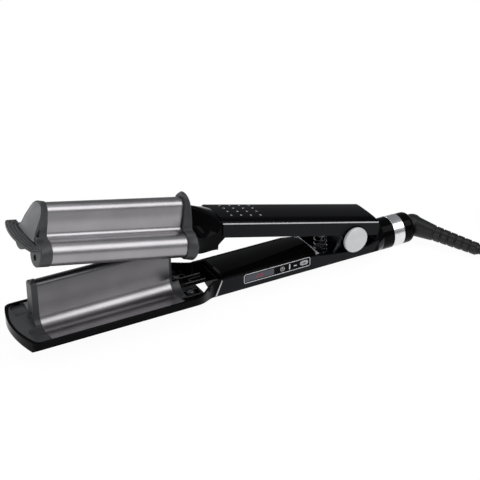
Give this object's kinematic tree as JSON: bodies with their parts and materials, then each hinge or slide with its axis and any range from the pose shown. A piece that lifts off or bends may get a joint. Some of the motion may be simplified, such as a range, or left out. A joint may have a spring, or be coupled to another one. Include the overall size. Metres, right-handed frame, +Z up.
{
  "type": "hair waver",
  "caption": "Deep hair waver: two hinged arms whose wave plates nest, handle with display and buttons, swivel mains lead.",
  "frame": {"origin": "on the surface the waver lies on, under the middle of its length without the lead", "axes": "+X towards the lead end, tips towards -X, controls on the -Y side, +Z up"},
  "size_m": [0.5284, 0.115, 0.1122],
  "materials": {
    "plate_titanium": "satin",
    "cap_grey": "fine matte",
    "gloss_black": "high gloss",
    "satin_charcoal": "satin",
    "bright_chrome": "polished",
    "disc_silver": "fine satin",
    "button_grey": "satin",
    "display_glass": "gloss",
    "light_white": "frosted",
    "board_green": "matte",
    "heater_white": "ceramic",
    "zinc_steel": "satin",
    "lead_rubber": "matte",
    "plug_nickel": "polished"
  },
  "bodies": {
    "lower_arm": {"lower_head_casing": "gloss_black", "lower_wave_plate": "plate_titanium", "lower_heater": "heater_white", "thermal_fuse": "zinc_steel", "lower_front_cap": "cap_grey", "lower_rear_flange": "cap_grey", "lower_neck_frame": "gloss_black", "lower_screws": "zinc_steel", "lower_handle_shell": "gloss_black", "lower_side_panel_right": "satin_charcoal", "lower_side_panel_left": "satin_charcoal", "lower_front_trims": "bright_chrome", "lower_inner_cover": "gloss_black", "cover_end_strip": "button_grey", "bezel_ring": "bright_chrome", "control_bezel": "gloss_black", "display_window": "display_glass", "display_module": "board_green", "indicator_light": "light_white", "control_board": "board_green", "tact_switches": "zinc_steel", "hinge_bracket": "zinc_steel", "hinge_pin": "zinc_steel", "hinge_cap_left": "disc_silver", "hinge_cap_right": "disc_silver", "hinge_spring": "zinc_steel", "rear_collar": "gloss_black", "collar_ring": "bright_chrome"},
    "upper_arm": {"upper_wave_plate": "plate_titanium", "upper_heaters": "heater_white", "upper_front_cap": "cap_grey", "upper_tip_guard": "cap_grey", "upper_rear_flange": "cap_grey", "upper_neck": "gloss_black", "upper_handle_cover": "gloss_black", "grip_studs": "bright_chrome", "upper_trim_strips": "bright_chrome", "upper_side_panel_left": "satin_charcoal", "upper_side_panel_right": "satin_charcoal", "upper_inner_cover": "gloss_black", "upper_hinge_frame": "gloss_black", "upper_screws": "zinc_steel"},
    "mode_key": {"mode_button": "gloss_black"},
    "temperature_key": {"temperature_button": "gloss_black"},
    "power_key": {"power_button": "button_grey"},
    "lead": {"swivel_elbow": "lead_rubber", "strain_relief": "lead_rubber", "cord_tube": "lead_rubber", "cord_coil": "lead_rubber", "cord_tail": "lead_rubber", "cord_tie": "lead_rubber", "plug_body": "lead_rubber", "plug_pins": "plug_nickel"}
  },
  "joints": [
    {"name": "arm_hinge", "type": "hinge", "parent": "lower_arm", "child": "upper_arm", "pos_m": [0.10435, 0, 0.025], "axis": [0, -1, 0], "range_deg": [0, 11.6], "stiffness_Nm_per_rad": 1, "springref_deg": -40.11, "deforming": ["hinge_spring"]},
    {"name": "mode_press", "type": "slide", "parent": "lower_arm", "child": "mode_key", "axis": [0, 1, 0], "range_m": [0, 0.0005], "stiffness_N_per_m": 900, "springref_m": -0.0008},
    {"name": "temperature_press", "type": "slide", "parent": "lower_arm", "child": "temperature_key", "axis": [0, 1, 0], "range_m": [0, 0.0005], "stiffness_N_per_m": 900, "springref_m": -0.0008},
    {"name": "power_press", "type": "slide", "parent": "lower_arm", "child": "power_key", "axis": [0, 1, 0], "range_m": [0, 0.0005], "stiffness_N_per_m": 900, "springref_m": -0.0008},
    {"name": "cord_swivel", "type": "hinge", "parent": "lower_arm", "child": "lead", "pos_m": [0.16235, 0, 0.0127], "axis": [1, 0, 0], "continuous": true}
  ]
}
